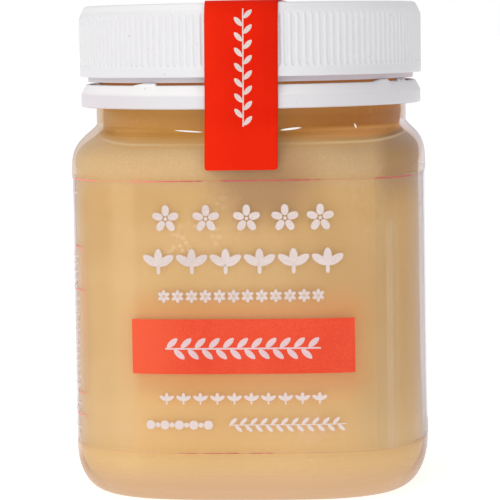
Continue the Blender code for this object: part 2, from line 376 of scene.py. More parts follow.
# %% The jar
def make_jar():
    """Foot, recessed panel, shoulder, neck and mouth outside, then the same back down inside."""
    edge = np.array([0.0, 0.35, 0.7, 1.0])
    eased = 3 * edge**2 - 2 * edge**3
    low, high = PANEL_BOTTOM + PANEL_STEP * edge, PANEL_TOP - PANEL_STEP * edge[::-1]
    in_low = BODY_HALF + (panel_half(low) - BODY_HALF) * eased
    in_high = BODY_HALF + (panel_half(high) - BODY_HALF) * eased[::-1]
    middle = np.linspace(12.0, 50.0, 5)
    turn = np.linspace(0.0, np.pi / 2, 5)
    lip_height = MOUTH_TOP - LIP_ROUND + LIP_ROUND * np.sin(turn)
    outer_lip = NECK_RADIUS - LIP_ROUND + LIP_ROUND * np.cos(turn)
    inner_lip = NECK_RADIUS - NECK_WALL + LIP_ROUND - LIP_ROUND * np.cos(turn[::-1])
    rings = [
        foot_outlines(BODY_HALF, FOOT_RISE, 0.0),
        outlines(np.concatenate([in_low, panel_half(middle), in_high]), BODY_POWER,
                 np.concatenate([low, middle, high])),
        shoulder_outlines(NECK_RADIUS, BODY_HALF, SHOULDER_TOP),
        outlines(outer_lip, ROUND, lip_height),
        outlines(inner_lip, ROUND, lip_height[::-1]),
        inside_outlines(0.0, MOUTH_TOP - 0.5)[::-1],
    ]
    points, faces = closed_skin(np.concatenate(rings))
    let_light_through(add_piece("jar_wall", points, faces, make_clear_plastic(), ["jar"]))


make_jar()

# %% [markdown]
# ## Set honey
# Set honey is opaque, pale tan and faintly cloudy. It wets the wall, so the fill reaches a little way into it
# and no air gap shows. A volume would be slow and noisy, so the colour is laid on the surface, one soft patch
# over the other: clouds, paler and browner places where light and shade are painted on, painted orange light
# round the red block, fine crystals and a few bubbles.

# %% Tones of the honey
# painted light and shade: right, corner, the neck tones and seal shade are painted shade; left, left edge and
# the hollow tones painted light; the slope tones, crease and band painted reflections; cast is painted red
# light from the block, glow a painted glow
HONEY = {
    "deep": (0.500, 0.290, 0.098), "light": (0.545, 0.330, 0.122), "right": (0.375, 0.222, 0.078),
    "foot": (0.615, 0.410, 0.195), "cast": (0.545, 0.185, 0.036), "left": (0.62, 0.42, 0.19),
    "left edge": (0.66, 0.46, 0.28), "left slope": (0.51, 0.358, 0.202), "right slope": (0.375, 0.262, 0.162),
    "corner": (0.235, 0.120, 0.045), "left neck": (0.465, 0.233, 0.054), "right neck": (0.308, 0.111, 0.0135),
    "left hollow": (0.62, 0.34, 0.105), "right hollow": (0.64, 0.325, 0.115), "crease": (0.62, 0.46, 0.265),
    "seal shade": (0.285, 0.150, 0.062), "band": (0.62, 0.405, 0.180), "spot": (0.58, 0.345, 0.21),
    "under block": (0.74, 0.38, 0.113), "bubble": (0.68, 0.52, 0.33), "glow": (0.30, 0.105, 0.03),
}
# the red block of the label: middle x and half length, middle height and half height
RED_BLOCK = (0.23, 18.22, 26.02, 4.47)
# the crease between shoulder and neck: its height in front, and where and how fast it climbs at each side
CREASE, CREASE_LEFT, CREASE_RIGHT = 58.65, (-17.0, 0.0141), (20.0, 0.0178)
# ellipses as middle x, middle height, half width and half height
SEAL_SHADE, BUBBLE_CROWD, PALE_SPOT = (4.0, 53.0, 12.4, 10.0), (-12.0, 46.0, 13.0, 14.0), (11.3, 12.5)


# %% Honey in the body
def body_tones(tree, x, z, where, front, right):
    """Cloudy tan, paler low down; painted shade to the right, painted light at the left and its edge, painted
    orange light round the red block.
    """
    clouds = fade(tree, noise(tree, where, 48.0, 3.0, 0.55), 0.35, 0.65)
    colour = blend_colours(tree, clouds, HONEY["deep"], HONEY["light"])
    colour = lay(tree, colour, HONEY["right"], right, 0.55)
    colour = lay(tree, colour, HONEY["foot"], fade(tree, z, 20.0, 4.0), 0.5)
    middle_x, half_x, middle_z, half_z = RED_BLOCK
    from_block = length_of(tree, beyond(tree, x, middle_x, half_x - 2.0), beyond(tree, z, middle_z, half_z))
    colour = lay(tree, colour, HONEY["cast"], fade(tree, from_block, 6.5, 0.0), front, 0.62)
    colour = lay(tree, colour, HONEY["left"], fade(tree, x, -10.0, -20.0), fade(tree, z, 44.0, 36.0, 0.0, 0.22))
    return lay(tree, colour, HONEY["left edge"], fade(tree, x, -26.2, -28.8, 0.0, 0.30)), clouds


# %% Honey in shoulder and neck
def height_above_crease(tree, x, z):
    """Height above the crease where neck and shoulder meet: level in front, a parabola at both sides."""
    (left_end, left_climb), (right_end, right_climb) = CREASE_LEFT, CREASE_RIGHT
    past_left = calc(tree, "MAXIMUM", calc(tree, "SUBTRACT", left_end, x), 0.0)
    past_right = calc(tree, "MAXIMUM", calc(tree, "SUBTRACT", x, right_end), 0.0)
    climb = calc(tree, "ADD", times(tree, calc(tree, "POWER", past_left, 2.0), left_climb),
                 times(tree, calc(tree, "POWER", past_right, 2.0), right_climb))
    return calc(tree, "SUBTRACT", z, calc(tree, "ADD", climb, CREASE))


def shoulder_tones(tree, colour, x, z, right):
    """Paler over the slope by a painted sheen, brown in the neck and dark at the right corner by painted shade,
    with a painted glow in the hollow and under the ring, and a fine pale painted reflection along the crease.
    """
    above = height_above_crease(tree, x, z)
    slope = blend_colours(tree, right, HONEY["left slope"], HONEY["right slope"])
    colour = lay(tree, colour, slope, fade(tree, z, 50.5, 55.0), fade(tree, above, 0.3, -1.2), 0.55)
    colour = lay(tree, colour, HONEY["corner"], fade(tree, x, 21.0, 24.5), fade(tree, z, 47.0, 53.5), 0.62)
    neck = blend_colours(tree, fade(tree, x, -20.0, 18.0), HONEY["left neck"], HONEY["right neck"])
    colour = lay(tree, colour, neck, fade(tree, above, 0.0, 1.9), 0.96)
    hollow = blend_colours(tree, right, HONEY["left hollow"], HONEY["right hollow"])
    sides = calc(tree, "ADD", fade(tree, x, 4.0, 21.0, 0.0, 0.9), fade(tree, x, -12.0, -21.0, 0.05, 0.75))
    colour = lay(tree, colour, hollow, fade(tree, above, 0.3, 1.1), fade(tree, z, 61.4, 60.4), sides)
    colour = lay(tree, colour, hollow, fade(tree, z, 62.6, 64.4, 0.0, 0.30))
    strength = fade(tree, calc(tree, "ABSOLUTE", x), 10.0, 18.0, 0.35, 0.65)
    return lay(tree, colour, HONEY["crease"], between(tree, above, -0.3, 0.0, 0.0, 0.3), strength)


# %% Honey at the front
def front_tones(tree, colour, x, z, front):
    """The seal's painted shadow, a pale upright band at the left as a painted reflection, a pale spot low down
    and a warm foot.
    """
    in_shade = fade(tree, from_middle(tree, x, z, *SEAL_SHADE), 1.0, 0.25)
    colour = lay(tree, colour, HONEY["seal shade"], in_shade, front, 0.76)
    in_reflected_band = between(tree, x, -22.5, -20.0, -18.0, -16.5)
    colour = lay(tree, colour, HONEY["band"], in_reflected_band, fade(tree, z, 53.0, 52.0), front, 0.30)
    in_spot = fade(tree, from_middle(tree, x, z, *PALE_SPOT), 2.6, 2.3)
    colour = lay(tree, colour, HONEY["spot"], in_spot, front, 0.35)
    under_block = between(tree, z, 7.5, 9.5, 17.0, 19.5)
    near_middle = fade(tree, calc(tree, "ABSOLUTE", x), 21.0, 16.0, 0.0, 0.20)
    return lay(tree, colour, HONEY["under block"], under_block, front, near_middle)


def bubble_tones(tree, colour, x, z, where):
    """Fine crystals all over, and small rings for the bubbles that gather at the upper left."""
    colour = speckle(tree, colour, noise(tree, where, 2600.0, 1.0), 0.10)
    rings = between(tree, cells(tree, where, 760.0), 0.10, 0.22, 0.26, 0.34)
    few = fade(tree, noise(tree, where, 95.0, 1.0), 0.50, 0.66)
    crowd = fade(tree, from_middle(tree, x, z, *BUBBLE_CROWD), 1.2, 0.3, 0.08, 0.40)
    return lay(tree, colour, HONEY["bubble"], rings, few, crowd)


# %% Honey finish
def make_honey_finish():
    """Set honey carries light inside itself, which evens out its shading: a little emission stands for that.
    The clear neck carries light up behind the slit of the lid too."""
    material, tree = new_finish("set_honey")
    x, y, z, where = place(tree)
    front, right = fade(tree, y, -15.0, -22.0), fade(tree, x, -20.0, 28.0)
    colour, clouds = body_tones(tree, x, z, where, front, right)
    colour = shoulder_tones(tree, colour, x, z, right)
    colour = front_tones(tree, colour, x, z, front)
    colour = bubble_tones(tree, colour, x, z, where)
    bump = add(tree, "Bump", Strength=0.25, Distance=0.4 * MM, Height=clouds)
    shader = add(tree, "BsdfPrincipled", Base_Color=colour, Roughness=0.55, Specular_IOR_Level=0.1,
                 Normal=bump.outputs[0], Emission_Color=colour, Emission_Strength=0.25)
    glow = add(tree, "Emission", Color=HONEY["glow"], Strength=1.0)
    behind_slit = between(tree, z, 66.0, 66.4, 70.2, 70.6)
    return put_out(material, mix_shaders(tree, behind_slit, shader, glow))


# %% The honey
def make_honey():
    """The inside of the jar moved a little way into the wall, with a slightly sunken, level top.

    In the neck its edge wanders in and out of the wall by the sum of two low waves. At the shoulder it bulges
    further into the wall as exp(-((z - 57) / 2.2)^2) / 2. Below the neck it leans left by (1 - cos a) / 4, and
    at the foot right by (1 + cos a) / 5."""
    rings = inside_outlines(-INTO_WALL, HONEY_TOP)
    height = rings[..., 2]
    right = (1 + np.cos(ANGLES)) / 2
    in_neck = np.clip((height - 60.0) / 2.0, 0.0, 1.0)
    below_neck = np.clip((61.0 - height) / 3.0, 0.0, 1.0)
    at_foot = np.clip((11.0 - height) / 4.0, 0.0, 1.0)
    waves = 0.08 * np.sin(7 * ANGLES + 1.3 * height) + 0.07 * np.sin(4 * ANGLES - 2.1 * height + 1.0) + 0.12
    further = (waves + 0.22 * right) * in_neck + 0.5 * np.exp(-(((height - 57.0) / 2.2) ** 2))
    further = further + 0.5 * (1 - right) * below_neck + 0.4 * right * at_foot
    rings[..., :2] *= (1 + further / NECK_RADIUS)[..., None]
    reach = NECK_RADIUS - NECK_WALL + INTO_WALL - np.array([0.2, 0.5, 1.0, 2.0, 5.0])
    sunk = np.array([0.0, 0.25, 0.45, 0.55, 0.6])
    points, faces = closed_skin(np.concatenate([rings, outlines(reach, ROUND, HONEY_TOP - sunk)]))
    add_piece("honey_fill", points, faces, make_honey_finish(), ["honey"])


make_honey()

# %% [markdown]
# ## The ribbed lid
# The cap has 150 narrow upright ribs. Seen as a rule, the ribs are what is left when a round-ended groove is
# cut between each pair, and the slanted rim planes their upper ends to points. So the radius is the smaller
# of the two: full radius less the groove's depth, or the rim's cone. An array of small boxes could never meet
# the rim so cleanly. The plastic is a cool white, painted paler to the left where the light comes from and
# darker at the right and in the recess, and a little of the light goes into it.

# %% White plastic finish
# painted light and shade: left, rim and slope are painted light, dim and recess painted shade, rosy and ring
# painted shade warmed by the honey and the seal
PLASTIC = {
    "deep": (0.682, 0.677, 0.70), "light": (0.722, 0.719, 0.73), "left": (0.80, 0.793, 0.79),
    "rim": (0.90, 0.885, 0.87), "slope": (0.97, 0.96, 0.95), "dim": (0.42, 0.41, 0.43),
    "recess": (0.515, 0.44, 0.465), "rosy": (0.66, 0.52, 0.60), "ring": (0.48, 0.36, 0.38),
    "speck": (0.42, 0.40, 0.42),
}


def make_white_plastic():
    material, tree = new_finish("white_plastic")
    x, y, z, where = place(tree)
    colour = blend_colours(tree, noise(tree, where, 60.0, 2.0), PLASTIC["deep"], PLASTIC["light"])
    # painted light: paler towards the left, most on the slanted rim and on the slope of the ring; painted
    # shade: dimmer low at the right
    on_cap, left = fade(tree, z, 70.8, 71.4), fade(tree, x, 12.0, -4.0)
    colour = lay(tree, colour, PLASTIC["left"], left, on_cap, 0.28)
    colour = lay(tree, colour, PLASTIC["rim"], fade(tree, z, 80.0, 80.7), left, 0.4)
    on_slope = between(tree, z, 66.3, 66.9, 68.3, 68.6)
    colour = lay(tree, colour, PLASTIC["slope"], on_slope, fade(tree, x, 22.0, -6.0, 0.25, 0.62))
    to_right = fade(tree, x, 2.0, 24.0)
    colour = lay(tree, colour, PLASTIC["dim"], to_right, fade(tree, on_cap, 0.0, 1.0, 0.28, 0.09))
    # painted shade, warmed as by light from the honey and the seal: the recess over the slit and the ring take
    # a little of the honey's and the seal's warmth
    sunk = fade(tree, length_of(tree, x, y), 28.35, 28.10)
    recess_shade = times(tree, sunk, fade(tree, z, 80.0, 70.0))
    colour = lay(tree, colour, PLASTIC["recess"], recess_shade, fade(tree, x, -10.0, 15.0, 0.60, 1.0))
    low_left = times(tree, fade(tree, x, -14.0, -24.0), fade(tree, z, 67.2, 66.4, 0.0, 0.25))
    colour = lay(tree, colour, PLASTIC["rosy"], low_left)
    colour = lay(tree, colour, PLASTIC["ring"], fade(tree, z, 68.3, 68.0, 0.0, 0.10))
    colour = lay(tree, colour, PLASTIC["speck"], fade(tree, cells(tree, where, 330.0), 0.10, 0.05), 0.30)
    skin = noise(tree, where, 1800.0, 2.0)
    bump = add(tree, "Bump", Strength=0.15, Distance=0.06 * MM, Height=skin)
    shader = add(tree, "BsdfPrincipled", Base_Color=colour, Roughness=0.38, IOR=1.5, Subsurface_Weight=0.12,
                 Subsurface_Radius=(1.0, 0.9, 0.85), Subsurface_Scale=0.8 * MM, Normal=bump.outputs[0])
    return put_out(material, shader)


white_plastic = make_white_plastic()

# %% Sizes of the cap
LID_TOP, LID_RADIUS, LID_INNER, LID_ROOF = 81.5, 29.4, 27.0, 1.2
RIM_RADIUS, RIM_ROUND, RIM_TURN, RIM_FOOT = 28.0, 0.7, math.radians(75), 28.95
RIBS, RIB_DEPTH, RIB_TOP, RIB_FADE, RIB_BOTTOM = 150, 0.24, 80.5, 1.1, 71.1
# half a rib as a share of the pitch, the height of the groove's round lower end, and how soon it is full depth
RIB_HALF, SCOOP_HEIGHT, GROOVE_RUN = 0.15, 0.8, 0.45
PITCH_STEPS = np.array([-0.5, -0.34, -0.27, -0.21, -0.15, 0.0, 0.15, 0.21, 0.27, 0.34])
COLLAR_BOTTOM, RECESS_RADIUS, SLIT_TOP, SLIT = 69.5, 28.0, 68.65, 0.4


# %% The cap
def groove_depth(across, height):
    """Depth of the groove between two ribs; across is the share of a pitch from the rib, -0.5 to 0.5."""
    from_rib = (0.5 - np.abs(across)) / (0.5 - RIB_HALF)
    from_end = np.clip(1 - (height - RIB_BOTTOM) / SCOOP_HEIGHT, 0.0, None)
    share = np.clip((1 - np.hypot(from_rib, from_end)) / GROOVE_RUN, 0.0, 1.0)
    return RIB_DEPTH * (share * share * (3 - 2 * share))


def cap_profile():
    """Radius and height from the middle of the top, over the rim, down the side and back up inside."""
    flat = np.array([3.0, 12.0, 20.0, 25.0, 27.2])
    top = np.stack([flat, np.full(flat.shape, LID_TOP)], -1)
    turn = np.linspace(0.0, RIM_TURN, 8)
    rim = np.stack([RIM_RADIUS + RIM_ROUND * np.sin(turn), LID_TOP - RIM_ROUND * (1 - np.cos(turn))], -1)
    down = np.concatenate([np.linspace(80.9, 79.2, 12), np.linspace(78.0, 72.8, 4),
                           np.linspace(72.3, RIB_BOTTOM - 0.1, 11)])
    side = np.stack([np.full(down.shape, LID_RADIUS), down], -1)
    base, hole, inner, roof = COLLAR_BOTTOM, RECESS_RADIUS, LID_INNER, LID_TOP - LID_ROOF
    collar = [(LID_RADIUS, base + 0.4), (29.38, base + 0.2), (29.3, base + 0.06), (29.15, base), (28.5, base)]
    recess = [(28.1, base - 0.02), (hole, base - 0.15), (hole, 69.1), (hole, SLIT_TOP + 0.1)]
    lower_edge = [(hole - 0.05, SLIT_TOP), (inner + 0.05, SLIT_TOP), (inner, SLIT_TOP + 0.1)]
    inside = [(inner, 74.0), (inner, roof - 0.2), (inner - 0.2, roof), (20.0, roof), (8.0, roof)]
    return np.concatenate([top, rim, side, collar, recess, lower_edge, inside])


def rim_cone(height):
    """Radius of the slanted rim at this height, which planes off the ribs' upper ends."""
    heights = [RIB_TOP - RIB_FADE, RIB_TOP, LID_TOP - RIM_ROUND * (1 - math.cos(RIM_TURN)), LID_TOP]
    radii = [LID_RADIUS, RIM_FOOT, RIM_RADIUS + RIM_ROUND * math.sin(RIM_TURN), RIM_RADIUS]
    return np.interp(height, heights, radii)


def make_cap():
    profile = cap_profile()[::-1]
    across = np.tile(PITCH_STEPS, RIBS)
    pitch = np.repeat(np.arange(RIBS), len(PITCH_STEPS))
    angle = 2 * np.pi * (pitch + 0.5 + across) / RIBS
    radius, height = profile[:, :1], profile[:, 1:]
    outside = (radius > LID_RADIUS - 0.01) & (height > RIB_BOTTOM)
    cut = np.minimum(radius - groove_depth(across[None], height), rim_cone(height))
    points, faces = closed_skin(round_axis(np.where(outside, cut, radius), angle, height))
    add_piece("lid_cap", points, faces, white_plastic, ["lid"])


make_cap()

# %% [markdown]
# ## The break-off ring
# Under the cap hangs a ring that tears away when the jar is first opened. A thin slit parts it from the cap,
# and slanting tabs bridge the slit: their top edge climbs from left to right and then drops away. The ring is
# one closed profile carried round, and only the height of its upper edge changes with the angle.

# %% The ring
RING_COLUMNS, RING_BOTTOM, RING_TOP = 1500, 64.35, 68.0
# how far a tab reaches up into the cap
TAB_REACH = 0.02
# degrees round from the front: the ramp's start, the tab's start and end, and where the slit is open again
TABS = [(-39.4, -34.0, -29.2, -28.8), (49.6, 53.9, 57.6, 58.8), (132.4, 142.0, 146.8, 147.2),
        (226.4, 236.0, 240.8, 241.2)]
PILLARS = (65.1, 67.4, 69.4)
# radius, height and how much the row follows the upper edge
RING_LOOP = np.array([
    (27.0, 64.6, 0), (27.1, 64.4, 0), (27.6, RING_BOTTOM, 0), (28.6, RING_BOTTOM, 0), (28.95, 64.36, 0),
    (29.12, 64.42, 0), (29.21, 64.52, 0), (29.25, 64.66, 0), (29.25, 65.3, 0), (29.25, 66.1, 0),
    (29.24, 66.5, 0), (29.18, 66.72, 0), (29.04, 66.95, 0.1), (28.85, 67.27, 0.3), (28.66, 67.55, 0.6),
    (28.5, 67.76, 0.85), (28.38, 67.9, 1), (28.2, 67.97, 1), (28.0, RING_TOP, 1), (27.8, RING_TOP, 1),
    (27.72, 67.95, 0), (27.0, 67.9, 0), (27.0, 66.2, 0),
])


def turned_from(degrees, start):
    """Turn from one direction to another, -180 to 180."""
    return (degrees - start + 180.0) % 360.0 - 180.0


def slit_open(degrees):
    """How open the slit is, 1 to 0, this far round from the front: a ramp to each tab, and thin pillars."""
    opening = np.ones_like(degrees)
    for tab in TABS:
        along = turned_from(degrees, tab[1])
        opening = np.minimum(opening, np.interp(along, np.array(tab) - tab[1], [1.0, 0.0, 0.0, 1.0]))
    for pillar in PILLARS:
        along = np.abs(turned_from(degrees, pillar))
        opening = np.minimum(opening, np.interp(along, [0.20, 0.75], [0.0, 1.0]) ** 0.5)
    return opening


def make_ring():
    angle = np.linspace(0.0, 2 * np.pi, RING_COLUMNS, endpoint=False)
    upper = SLIT_TOP + TAB_REACH - (SLIT + TAB_REACH) * slit_open(np.degrees(angle) + 90.0)
    radius, height, follow = (RING_LOOP[:, k : k + 1] for k in range(3))
    rings = round_axis(radius, angle, height + follow * (upper[None] - RING_TOP))
    faces = grid_faces(len(RING_LOOP), RING_COLUMNS, closed_along=True)
    add_piece("lid_ring", rings, faces, white_plastic, ["lid"])


make_ring()

# %% [markdown]
# ## The clear label film
# The label is a clear film wrapped once round the panel, with its end lapped over its start at the front
# right corner. A sheet with a Solidify modifier is enough; its rule is the jar's outline moved out, and it
# climbs over its own start along the last stretch. The film is see-through with a thin gloss, a trace of
# haze, and milkier bands where the lap's glue shows.

# %% Film finish
def make_film_finish():
    material, tree = new_finish("label_film")
    x, y, z, where = place(tree)
    facing = add(tree, "LayerWeight", Blend=0.5).outputs["Facing"]
    outer = calc(tree, "SUBTRACT", 1.0, add(tree, "NewGeometry").outputs["Backfacing"])
    rim = rim_colour(tree, facing, fade(tree, x, -10.0, 10.0))
    gloss = add(tree, "BsdfGlossy", Color=rim, Roughness=0.08)
    haze = add(tree, "BsdfDiffuse", Color=(0.84, 0.74, 0.62))
    # seen edge-on at the left, the film takes on a little of the honey's colour
    edge_on = times(tree, fade(tree, facing, 0.70, 0.92), fade(tree, x, -20.0, -26.0))
    tint = blend_colours(tree, edge_on, (0.985, 0.985, 0.985), (0.955, 0.938, 0.927))
    clear = add(tree, "BsdfTransparent", Color=tint)
    front = times(tree, fade(tree, y, -20.0, -21.5), fade(tree, z, 47.5, 42.0))
    wide_band = between(tree, x, 23.40, 23.60, 24.52, 24.68)
    thin_band = between(tree, x, 24.90, 25.05, 25.45, 25.60)
    uneven = fade(tree, noise(tree, where, 130.0, 3.0), 0.2, 0.8, 0.01, 0.04)
    milk = times(tree, calc(tree, "ADD", wide_band, thin_band), front, uneven)
    veil = calc(tree, "ADD", milk, fade(tree, noise(tree, where, 40.0, 2.0), 0.4, 0.7, 0.0, 0.012))
    body = mix_shaders(tree, veil, clear, haze)
    return put_out(material, mix_shaders(tree, mirror_share(tree, facing, outer, 0.30, 0.03), body, gloss))


# %% The film
FILM, FILM_GAP = 0.1, 0.2
LABEL_BOTTOM, LABEL_TOP = 8.45, 53.0
LAP_START, LAP_END, LAP_CLIMB = 39.375, 45.0, 16.875
FILM_ROWS, FILM_COLUMNS = 7, 560


def lap_rise(degrees):
    """How far the film stands out over its own start, this many degrees round from the front."""
    degrees = np.asarray(degrees, float) % 360.0
    rise = 2 * FILM * np.clip((degrees - LAP_START + LAP_CLIMB) / LAP_CLIMB, 0.0, 1.0)
    return np.where(degrees <= LAP_END + 0.01, rise, 0.0)


def film_points(degrees, height, lift):
    """Points on the panel's outline moved out by the film's gap and this lift."""
    angle = np.radians(degrees) - np.pi / 2
    return round_axis((panel_half(height) + FILM_GAP + lift) * squircle(angle, BODY_POWER), angle, height)


def make_film():
    along = np.linspace(LAP_START - 360.0, LAP_END, FILM_COLUMNS)[None]
    rise = np.where(along > 0, lap_rise(along), 0.0)
    height = np.linspace(LABEL_BOTTOM, LABEL_TOP, FILM_ROWS)[:, None]
    sheet = film_points(along, height, rise + FILM / 2)
    faces = grid_faces(FILM_ROWS, FILM_COLUMNS, closed_across=False)
    film = add_piece("label_film", sheet, faces, make_film_finish(), ["label"])
    let_light_through(film)
    thicken(film, FILM)


make_film()

# %% [markdown]
# ## Printing
# A print is a thin layer of ink. Each motif is an oval patch: u runs along it and v across it, and a power
# shapes its ends, from a plain oval to a pointed leaf or a bar with round ends. All patches of one ink are
# one mesh, laid on the film by arc length so that nothing stretches round the corners. The label's fields
# hold plain ornament.

# %% Laying ink on the label
INK, INK_GAP, PATCH_STEP = 0.015, 0.004, 0.003


def arc_table():
    """Turns from the front, and how far the outline of half width 1 has run by each of them."""
    turn = np.linspace(0.0, 2 * np.pi, 7201)
    walk = round_axis(squircle(turn - np.pi / 2, BODY_POWER), turn, 0.0)
    return turn, np.concatenate([[0.0], np.cumsum(np.linalg.norm(np.diff(walk, axis=0), axis=1))])


TABLE_TURN, TABLE_ARC = arc_table()


def on_label(along, height, lift=0.0):
    """The film's outer face at this arc length from the front's middle and this height."""
    ink_half = panel_half(30.0) + FILM_GAP + FILM
    turn = np.degrees(np.interp(np.mod(along / ink_half, TABLE_ARC[-1]), TABLE_ARC, TABLE_TURN))
    return film_points(turn, height, FILM + lap_rise(turn) + INK_GAP + lift)


print("round the label", round(float(TABLE_ARC[-1] * (panel_half(30.0) + FILM_GAP + FILM)), 1), "mm")


# %% Patches of ink
def ovals(middle_a, middle_b, heading, length, width, power, steps=(13, 5)):
    """Patches whose half width goes as sin(pi u)^power, turned to a heading in degrees about their middles."""
    given = np.broadcast_arrays(*(np.atleast_1d(np.asarray(v, float))
                                  for v in (middle_a, middle_b, heading, length, width, power)))
    middle_a, middle_b, heading, length, width, power = (v[:, None, None] for v in given)
    u = np.linspace(0.0, 1.0, steps[0])[None, :, None]
    v = np.linspace(-1.0, 1.0, steps[1])[None, None, :]
    forward = -np.cos(np.pi * u) / 2 * length
    side = v * width / 2 * np.maximum(np.sin(np.pi * u), 0.05) ** power
    c, s = np.cos(np.radians(heading)), np.sin(np.radians(heading))
    return middle_a + forward * c - side * s, middle_b + forward * s + side * c


def ribbon(path_a, path_b, width, steps=4):
    """A stroke along a path: points go to both sides of it by half the width, square to the path."""
    path_a, path_b = np.broadcast_arrays(np.asarray(path_a, float), np.asarray(path_b, float))
    run_a, run_b = np.gradient(path_a), np.gradient(path_b)
    size = np.hypot(run_a, run_b)
    v = np.linspace(-0.5, 0.5, steps)[None, :]
    width = np.broadcast_to(np.asarray(width, float), path_a.shape)[:, None]
    a = path_a[:, None] - v * width * (run_b / size)[:, None]
    b = path_b[:, None] + v * width * (run_a / size)[:, None]
    return a[None], b[None]


def print_ink(name, patches, surface, material):
    """All patches laid on a surface as one mesh, given the ink's thickness. Neighbours lie a hair apart."""
    points, faces, count = [], [], 0
    for a, b in patches:
        number, rows, columns = a.shape
        lift = (PATCH_STEP * (np.arange(number) % 4))[:, None, None]
        quads = grid_faces(rows, columns, closed_across=False)[:, [0, 3, 2, 1]]
        shifts = count + np.arange(number)[:, None, None] * rows * columns
        faces.append((quads[None] + shifts).reshape(-1, 4))
        points.append(surface(a, b, lift).reshape(-1, 3))
        count += number * rows * columns
    piece = add_piece(name, np.concatenate(points), np.concatenate(faces), material)
    piece.visible_shadow = False
    piece.data.shade_flat()
    thicken(piece, INK, 1.0)


# %% [markdown]
# ## Inks
# Printed ink is never one flat tone: it lies a little thicker here and thinner there. The white lets some
# honey through, so it is a warm off-white, and the red block is lighter towards its left end. The faint print
# at the side is seen against the light, so a painted glow lets it shine a little, and nothing of it shows from
# inside the jar.

# %% Ink finishes
def make_ink(name, thin, thick, left=None, low=None, faint=False):
    """Two tones of one ink mixed by fine and wide unevenness; left and low are other tones towards there."""
    material, tree = new_finish(name)
    x, _, z, where = place(tree)
    fine, wide = noise(tree, where, 3200.0, 2.0, 0.6), noise(tree, where, 180.0, 2.0)
    uneven = calc(tree, "ADD", times(tree, fine, 0.6), times(tree, wide, 0.4))
    colour = blend_colours(tree, fade(tree, uneven, 0.38, 0.62), thin, thick)
    if left:
        colour = lay(tree, colour, left, fade(tree, x, -6.0, -19.0))
    if low:
        colour = lay(tree, colour, low, fade(tree, z, 22.0, 16.0))
    bump = add(tree, "Bump", Strength=0.2, Distance=0.01 * MM, Height=fine)
    # the faint side print gets a painted glow: emission in its own colour
    shader = add(tree, "BsdfPrincipled", Base_Color=colour, Roughness=0.45, Specular_IOR_Level=0.15,
                 Normal=bump.outputs[0], Emission_Color=colour, Emission_Strength=0.45 if faint else 0.0)
    if faint:
        normal = add(tree, "NewGeometry").outputs["Normal"]
        outward = add(tree, "VectorMath", {"operation": "DOT_PRODUCT"}, i0=normal, i1=where).outputs["Value"]
        from_inside = calc(tree, "LESS_THAN", outward, 0.0)
        shader = mix_shaders(tree, from_inside, shader, add(tree, "BsdfTransparent"))
    return put_out(material, shader)


white_ink = make_ink("white_ink", (0.62, 0.515, 0.478), (0.68, 0.584, 0.552), low=(0.695, 0.585, 0.545))
side_ink = make_ink("side_ink", (0.43, 0.345, 0.315), (0.49, 0.395, 0.365), faint=True)
rose_ink = make_ink("rose_ink", (0.66, 0.465, 0.470), (0.72, 0.527, 0.544))
red_ink = make_ink("red_ink", (0.70, 0.060, 0.023), (0.76, 0.080, 0.031), left=(0.80, 0.098, 0.040))
pink_ink = make_ink("pink_ink", (0.45, 0.065, 0.085), (0.53, 0.095, 0.105), left=(0.84, 0.25, 0.20))

# %% [markdown]
# ## Ornament
# Blossoms, sprigs, beads and twigs are a few ovals each. Their sizes are shares of the motif's width, so that
# one rule draws it large or small.

# %% Motifs
def spread(middles_a, middle_b, reach, headings):
    """Points at a reach and a heading from each middle, with their headings, as three flat lists."""
    a = np.asarray(middles_a, float)[:, None] + reach * np.cos(np.radians(headings))[None]
    b = middle_b + reach * np.sin(np.radians(headings))[None] + 0 * a
    return a.ravel(), b.ravel(), np.broadcast_to(headings[None], a.shape).ravel()


def blossoms(middles_a, middle_b, across, petals=5):
    """Rings of petals, each a blunt oval that points away from the middle, with a dot at the heart."""
    headings = 90.0 + 360.0 / petals * np.arange(petals)
    around = spread(middles_a, middle_b, 0.30 * across, headings)
    hearts = ovals(middles_a, middle_b, 0.0, 0.13 * across, 0.13 * across, 1.0)
    return [ovals(*around, 0.40 * across, 0.27 * across, 0.8), hearts]


def sprigs(middles_a, middle_b, across):
    """Sprigs of three leaves that open upwards from one short stem."""
    reach = np.array([0.26, 0.31, 0.31]) * across
    fan = spread(middles_a, middle_b - 0.22 * across, reach, np.array([90.0, 33.0, 147.0]))
    stems = ovals(middles_a, middle_b - 0.33 * across, 90.0, 0.34 * across, 0.13 * across, 0.35)
    return [ovals(*fan, 0.60 * across, 0.28 * across, 1.1), stems]


def beads(start, end, middle_b, across, count):
    """A row of round dots, large and small in turn."""
    at = np.linspace(start + across / 2, end - across / 2, count)
    size = np.where(np.arange(count) % 2 == 0, across, 0.55 * across)
    return [ovals(at, middle_b, 0.0, size, size, 0.9)]


def leaf_steps(start, end, leaf, count):
    """Where the leaves of a twig sit along it, and the side of each in turn."""
    return np.linspace(start + leaf / 2, end - leaf / 2, count), np.where(np.arange(count) % 2 == 0, 1.0, -1.0)


def laurel(start, end, middle_b, leaf, count):
    """Leaves that lean along a fine straight stem, above and below it in turn."""
    at, side = leaf_steps(start, end, leaf, count)
    leaves = ovals(at, middle_b + side * 0.40 * leaf, 42.0 * side, leaf, 0.42 * leaf, 1.3)
    return [ribbon(np.linspace(start, end, 120), middle_b, 0.12 * leaf), leaves]


def worn_rows(start, end, heights, thick):
    """Fine rows that swell and shrink, as worn."""
    a = np.linspace(start, end, int((end - start) * 8))
    swell = 0.80 + 0.20 * np.sin(5.3 * a) * np.sin(3.1 * a + 1.0)
    return [ribbon(a, height, thick * swell, 3) for height in heights]


def block(middle_a, half_a, middle_b, half_b):
    """A plain field as one wide ribbon."""
    return [ribbon(np.linspace(middle_a - half_a, middle_a + half_a, 90), middle_b, 2 * half_b, 9)]


